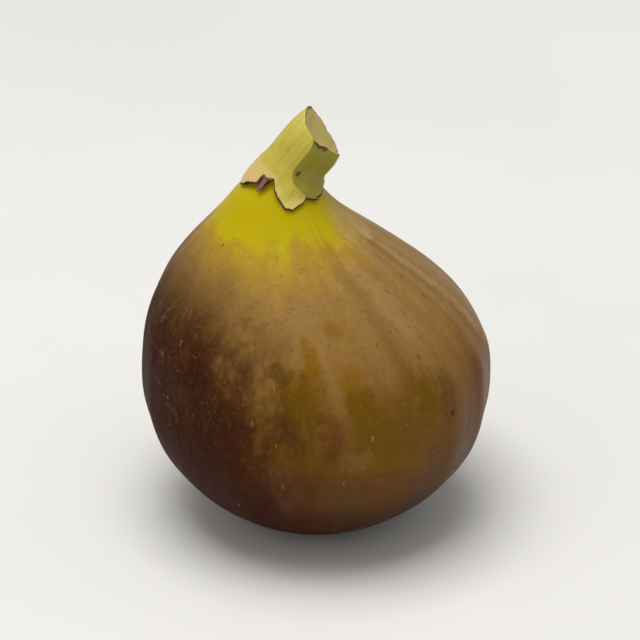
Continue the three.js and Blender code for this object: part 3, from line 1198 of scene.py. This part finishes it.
    def surface(self, angle: np.ndarray, along: np.ndarray) -> np.ndarray:
        """Points on the outside of the bracts and the stalk.

        Args:
            angle: Angles around the stalk's line, in radians.
            along: Shares of the stalk's line.

        Returns:
            The points.
        """
        foot, rise, bend, end = (np.array(point) for point in self.line)
        t = along[..., None]
        point = (1 - t) ** 3 * foot + 3 * (1 - t) ** 2 * t * rise + 3 * (1 - t) * t**2 * bend + t**3 * end
        tilt = math.radians(self.tilt) * smoothstep(along, *self.tilt_range)
        radius = self.radius_at(angle, along)
        aside = np.cos(angle) * radius
        out = np.stack([aside * np.cos(tilt), np.sin(angle) * radius, -aside * np.sin(tilt)], axis=-1)
        point = point + out
        axis = self.shape.axis_at(point[..., 2])
        off = point - axis
        clear = self.clear_radius(point[..., 2]) / np.linalg.norm(off, axis=-1)
        return axis + off * ((1 + clear**self.bract_blend) ** (1 / self.bract_blend))[..., None]

    def along_where(self, angle: np.ndarray, measure: Callable[[np.ndarray], np.ndarray]) -> np.ndarray:
        """The shares of the stalk's line at which a measure of its surface reaches zero, by halving.

        Args:
            angle: Angles around the stalk's line, in radians.
            measure: Takes points, and is below zero before the place that is looked for.

        Returns:
            The shares.
        """
        low, high = np.zeros_like(angle), np.ones_like(angle)
        for _ in range(self.halvings):
            middle = (low + high) / 2
            before = measure(self.surface(angle, middle)) < 0
            low, high = np.where(before, middle, low), np.where(before, high, middle)
        return low

    def lining(self, turn: np.ndarray, hem: np.ndarray) -> np.ndarray:
        """Makes the wall of the hollow that holds the neck.

        Args:
            turn: The angles of a ring's points, in radians.
            hem: The height of the hem at those angles.

        Returns:
            Rings of points, from the top of the hollow down to the hem.
        """
        s = self.shape
        top = s.radius_at(np.array(s.neck_height)) + self.bract_gap
        bend = np.linspace(math.pi / 2, 0, self.dome_rows + 2)[1:-1, None] + 0 * turn
        rise = (s.neck_dome + self.bract_gap) * np.sin(bend)
        dome = s.surface(turn + 0 * bend, top * np.cos(bend), s.neck_height + rise)
        height = lerp(s.neck_height, hem, np.linspace(0, 1, self.lining_rows)[:, None])
        wall = s.surface(turn + 0 * height, s.radius_at(height) + self.bract_gap, height)
        return np.concatenate([dome, wall])

    def build(self) -> bpy.types.Object:
        """Makes the stalk: the lining of its bracts, their hem, the outside and the cut.

        Returns:
            The stalk as one closed object.
        """
        s = self.shape
        turn = np.linspace(0, 2 * math.pi, self.turns, endpoint=False)
        hem = self.hem_height(turn)
        normal = np.array(self.cut_way) / np.linalg.norm(self.cut_way)
        at_hem = self.along_where(turn, lambda point: point[..., 2] - hem)
        uneven = waves_at(turn, self.cut_waves)
        at_cut = self.along_where(turn, lambda point: (point - np.array(self.cut_middle)) @ normal - uneven)

        lining = self.lining(turn, hem)
        along = lerp(at_hem, at_cut, np.linspace(0, 1, self.outer_rows)[:, None] ** self.outer_crowding)
        outside = self.surface(turn + 0 * along, along)
        edge = lerp(lining[-1], outside[0], 0.5) - np.array([0, 0, self.bract_thickness / 4])
        rim = outside[-1]
        middle = rim.mean(axis=0)
        inset = np.linspace(0, 1, self.cut_rows, endpoint=False)[1:, None, None]
        hollow = self.cut_hollow * (1 - (1 - inset) ** 2)
        hollow = hollow + uneven[None, :, None] * ((1 - inset) - (1 - inset) ** 3)
        cut = lerp(rim, middle, inset) - normal * hollow
        rings = np.concatenate([lining, edge[None], outside, cut])

        # What the finish reads at each point, ring by ring.
        before = np.zeros((len(lining) + 1, self.turns))
        after = np.zeros((len(cut), self.turns))
        shares = np.concatenate([before + at_hem, along, after + at_cut])
        from_hem = np.linalg.norm(outside - outside[0], axis=-1) / MM
        from_hem = np.concatenate([before, from_hem, after + from_hem.max()])
        insets = np.concatenate([before, 0 * along, after + inset[..., 0]])
        angle = turn + 0 * shares
        carried = {
            "flow": np.stack([np.cos(angle), np.sin(angle), shares], axis=-1),
            "wear": np.stack([from_hem, insets, self.spotted(angle, shares, at_cut)], axis=-1),
            "tone": self.tones(angle, shares),
        }
        start = s.axis_at(np.array(s.neck_height + s.neck_dome + self.bract_gap))
        stalk = closed_skin("fig_stalk", start, rings, middle - normal * self.cut_hollow, carried)
        stalk.data.materials.append(self.finish.material())
        return stalk

    def spotted(self, angle: np.ndarray, along: np.ndarray, at_cut: np.ndarray) -> np.ndarray:
        """Finds where the stalk has brown spots.

        Args:
            angle: Angles around the stalk's line, in radians.
            along: Shares of the stalk's line.
            at_cut: The shares at which it is cut.

        Returns:
            A mask, 1 in the middle of a spot.
        """
        mask = np.zeros_like(angle)
        for spot in self.spots:
            aside = turned(np.degrees(angle), spot.facing) / spot.half_turn
            above = (along - (at_cut if spot.along is None else spot.along)) / spot.half_share
            mask = np.maximum(mask, np.clip(1.3 - 0.7 * (aside**2 + above**2), 0, 1))
        return mask

    def tones(self, angle: np.ndarray, along: np.ndarray) -> np.ndarray:
        """Finds the parts of the stalk that have a tone of their own.

        Args:
            angle: Angles around the stalk's line, in radians.
            along: Shares of the stalk's line.

        Returns:
            Masks of the flat side, which is partly painted shade, the pale left flap and the dry shred.
        """
        degrees = np.degrees(angle)
        flatness = self.flatness(angle, along)
        flat = smoothstep(flatness + 0.08 * (1 - smoothstep(along, *self.body_range)), 0.94, 1.02)
        flap = 1 - smoothstep(np.abs(turned(degrees, self.flap_facing)), *self.flap_edge)
        flap = flap * (1 - smoothstep(along, *self.flap_end))
        off = np.abs(turned(degrees, self.shred_facing))
        shred = (1 - smoothstep(off, *self.shred_edge)) * (1 - smoothstep(along, *self.shred_end))
        shred = shred * (1 - 0.45 * (1 - smoothstep(off, *self.shred_core)))
        return np.stack([flat, flap, shred], axis=-1)

    def dress(self) -> bpy.types.Object:
        """Builds the stalk and puts it in its solid's place.

        Returns:
            The stalk.
        """
        stalk = self.build()
        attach(stalk, BODY)
        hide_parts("stalk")
        return stalk


@dataclass(frozen=True)
class EyeFinish:
    """The eye's dry scales: red-brown, with paler tips."""

    root: Colour = tint(96, 40, 34)
    tip: Colour = tint(168, 112, 74)
    edge: Colour = tint(70, 34, 24)
    relief_depth: float = 0.06 * MM

    def material(self) -> bpy.types.Material:
        """Builds the scales' material.

        Returns:
            The material. It reads "scale" from the mesh: share of the length, of the width, and 0.
        """
        g = Shader("fig_eye")
        place = g.place()
        along, across, _ = g.parts(g.carried("scale"))
        cloud = g.noise(place, 900.0, 3.0, 0.6, 5.1)
        grain = g.noise(place, 4200.0, 2.0, 0.5, 1.7)
        colour = g.mix((along + (cloud - 0.5) * 0.6).rise(0.1, 0.9), self.root, self.tip)
        colour = g.mix((abs(across) + (cloud - 0.5) * 0.5).rise(0.6, 1.0) * 0.7, colour, self.edge)
        roughness = (grain - 0.5) * 0.3 + 0.58
        relief = grain * 0.5 + cloud * 0.5
        return g.finish(colour, roughness, relief, self.relief_depth, {"Specular IOR Level": 0.35})


@dataclass(frozen=True)
class ScaleRing:
    """A ring of scales: how many, how far from the middle, and the size of one against the first."""

    count: int
    middle: float
    size: float


@dataclass
class Eye:
    """The small scales that close the eye in the middle of the underside."""

    finish: EyeFinish
    rings: tuple[ScaleRing, ...] = (
        ScaleRing(13, 2.35 * MM, 1.0),
        ScaleRing(10, 1.65 * MM, 0.86),
        ScaleRing(7, 1.0 * MM, 0.72),
        ScaleRing(4, 0.45 * MM, 0.6),
    )
    rim_height: float = 1.3 * MM
    slope: float = 9
    dip: float = 7
    length: float = 1.9 * MM
    width: float = 1.5 * MM
    thickness: float = 0.34 * MM
    arch: float = 0.18 * MM
    outer_radius: float = 3.45 * MM
    core_height: float = 0.5 * MM
    core_lift: float = 0.4 * MM
    ring_turn: float = 137.5
    sway: float = 0.12
    dips: tuple[float, float] = (0.7, 1.3)
    sizes: tuple[float, float] = (0.9, 1.1)
    seed: int = 5
    length_steps: int = 12
    width_steps: int = 10
    core_turns: int = 40
    core_rows: int = 16

    def one_scale(self) -> bpy.types.Object:
        """Makes one scale: an arched leaf that points along X and shows its back downwards.

        Returns:
            The scale as one closed object.
        """
        along = np.linspace(0, 1, self.length_steps + 2)[1:-1]
        half = self.width / 2 * np.sin(math.pi * along**0.8) ** 0.7
        turn = np.linspace(0, 2 * math.pi, 2 * self.width_steps, endpoint=False)
        share, angle = np.meshgrid(along, turn, indexing="ij")
        across = np.cos(angle)
        x = (share - 0.5) * self.length
        y = across * half[:, None]
        thick = self.thickness / 2 * np.sin(math.pi * share) ** 0.5
        z = np.sin(angle) * thick + self.arch * (across**2 - 1) * np.sin(math.pi * share)
        rings = np.stack([x, y, z], axis=-1)
        tips = np.array([[-self.length / 2, 0, 0], [self.length / 2, 0, 0]])
        carried = {"scale": np.stack([share, across, 0 * share], axis=-1)}
        return closed_skin("fig_eye", tips[0], rings, tips[1], carried)

    def build(self) -> bpy.types.Object:
        """Grows the rings of scales, and a low core that closes the gaps between them.

        Returns:
            The eye as one object.
        """
        eye = self.one_scale()
        g = Growth("eye_scales", {"Seed": self.seed, "Dip": math.radians(self.slope + self.dip)})
        join = g.node("GeometryNodeJoinGeometry")
        for number, ring in enumerate(self.rings):
            circle = {"Vertices": ring.count, "Radius": ring.middle}
            drop = (self.outer_radius - ring.middle) * math.tan(math.radians(self.slope))
            points = g.out(g.node("GeometryNodeMeshCircle", None, circle))
            moved = {
                "Geometry": points,
                "Translation": (0.0, 0.0, self.rim_height - drop),
                "Rotation": (0.0, 0.0, math.radians(self.ring_turn) * number),
            }
            points = g.out(g.node("GeometryNodeTransform", None, moved))
            x, y, _ = g.parts(g.out(g.node("GeometryNodeInputPosition")))
            seed = g.given("Seed") + number
            inwards = g.maths("ARCTAN2", y, x) + math.pi + g.chance(-self.sway, self.sway, seed)
            lean = g.given("Dip") * g.chance(*self.dips, seed + 20)
            size = g.chance(*self.sizes, seed + 40) * ring.size
            euler = g.vector(g.chance(-self.sway, self.sway, seed + 60), lean, inwards)
            rotation = g.out(g.node("FunctionNodeEulerToRotation", None, {0: euler}))
            sockets = {
                "Points": points,
                "Instance": g.given(),
                "Rotation": rotation,
                "Scale": g.vector(size, size, size),
            }
            scales = g.out(g.node("GeometryNodeInstanceOnPoints", None, sockets))
            g.feed(join.inputs[0], scales)
        ball = {"Segments": self.core_turns, "Rings": self.core_rows, "Radius": 1.0}
        sockets = {
            "Geometry": g.out(g.node("GeometryNodeMeshUVSphere", None, ball)),
            "Translation": (0.0, 0.0, self.rim_height + self.core_lift),
            "Scale": (self.outer_radius, self.outer_radius, self.core_height),
        }
        g.feed(join.inputs[0], g.out(g.node("GeometryNodeTransform", None, sockets)))
        smooth = g.out(g.node("GeometryNodeSetShadeSmooth", None, {"Geometry": g.out(join)}))
        g.grow(eye, smooth, self.finish.material())
        return eye

    def dress(self) -> bpy.types.Object:
        """Builds the eye and puts it in its solid's place.

        Returns:
            The eye.
        """
        eye = self.build()
        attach(eye, BODY)
        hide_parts("eye_scales")
        return eye


@dataclass(frozen=True)
class FloorFinish:
    """A pale matt table top."""

    light: Colour = tint(236, 234, 230)
    shade: Colour = tint(231, 229, 224)
    relief_depth: float = 0.02 * MM

    def material(self) -> bpy.types.Material:
        """Builds the floor's material.

        Returns:
            The material.
        """
        g = Shader("pale_floor")
        cloud = g.noise(g.place(), 9.0, 3.0, 0.5, 2.0)
        colour = g.mix(cloud.rise(0.3, 0.7), self.shade, self.light)
        return g.finish(colour, cloud * 0.1 + 0.6, cloud, self.relief_depth, {"Specular IOR Level": 0.25})


@dataclass
class Studio:
    """The camera, the pale floor and the soft light."""

    floor_finish: FloorFinish
    camera_place: Triple = (0, -0.328, 0.2038)
    camera_aim: Triple = (0.0005, 0, 0.0301)
    lens: float = 147
    floor_side: float = 6.0
    sky: float = 0.42
    key_place: Triple = (-0.08, -0.06, 0.85)
    key_size: float = 0.55
    key_power: float = 5.6
    fill_place: Triple = (-0.5, -0.6, 0.35)
    fill_size: float = 0.6
    fill_power: float = 0.35

    def build(self) -> None:
        """Sets the studio up."""
        self.add_camera()
        self.add_floor()
        self.add_sky()
        self.add_light("key", self.key_place, self.key_size, self.key_power)
        self.add_light("fill", self.fill_place, self.fill_size, self.fill_power)
        bpy.context.scene.view_settings.view_transform = "Standard"

    def aim(self, thing: bpy.types.Object, place: Triple) -> None:
        """Puts a camera or a light in its place and turns it to the fig.

        Args:
            thing: The camera or the light.
            place: Its place.
        """
        thing.location = place
        way = Vector(self.camera_aim) - Vector(place)
        thing.rotation_euler = way.to_track_quat("-Z", "Y").to_euler()
        bpy.context.scene.collection.objects.link(thing)

    def add_camera(self) -> None:
        """Adds the camera and makes it the scene's own."""
        data = bpy.data.cameras.new("camera")
        data.lens = self.lens
        data.clip_start = 0.01
        camera = bpy.data.objects.new("camera", data)
        self.aim(camera, self.camera_place)
        bpy.context.scene.camera = camera

    def add_floor(self) -> None:
        """Adds the floor, which isn't part of the fig."""
        half = self.floor_side / 2
        corners = [(-half, -half, 0), (half, -half, 0), (half, half, 0), (-half, half, 0)]
        mesh = bpy.data.meshes.new("floor")
        mesh.from_pydata(corners, [], [(0, 1, 2, 3)])
        mesh.materials.append(self.floor_finish.material())
        new_piece("floor", mesh)

    def add_sky(self) -> None:
        """Adds even white light from all around."""
        world = bpy.data.worlds.new("soft_light")
        world.use_nodes = True
        g = Graph(world.node_tree)
        sky = g.node("ShaderNodeBackground", None, {"Color": (1.0, 1.0, 1.0, 1.0), "Strength": self.sky})
        g.node("ShaderNodeOutputWorld", None, {"Surface": g.out(sky)})
        bpy.context.scene.world = world

    def add_light(self, name: str, place: Triple, size: float, power: float) -> None:
        """Adds one soft light that shines at the fig.

        Args:
            name: Its name.
            place: Where it hangs.
            size: The side of its square, in metres.
            power: Its power in watts.
        """
        data = bpy.data.lights.new(name, "AREA")
        data.size = size
        data.energy = power
        self.aim(bpy.data.objects.new(name, data), place)


def report(piece: bpy.types.Object) -> None:
    """Logs one finished piece with its number of triangles."""
    piece.data.calc_loop_triangles()
    LOG.info("%s: %d triangles", piece.name, len(piece.data.loop_triangles))


def main() -> None:
    """Builds the studio and the fig, piece by piece."""
    logging.basicConfig(level=logging.INFO, format="%(message)s")
    shape = FigShape()
    Studio(FloorFinish()).build()
    skin = Fruit(shape, SkinFinish()).dress()
    report(skin)
    report(Flecks(FleckFinish()).dress(skin))
    report(Stalk(shape, StalkFinish()).dress())
    report(Eye(EyeFinish()).dress())


if __name__ == "__main__":
    main()
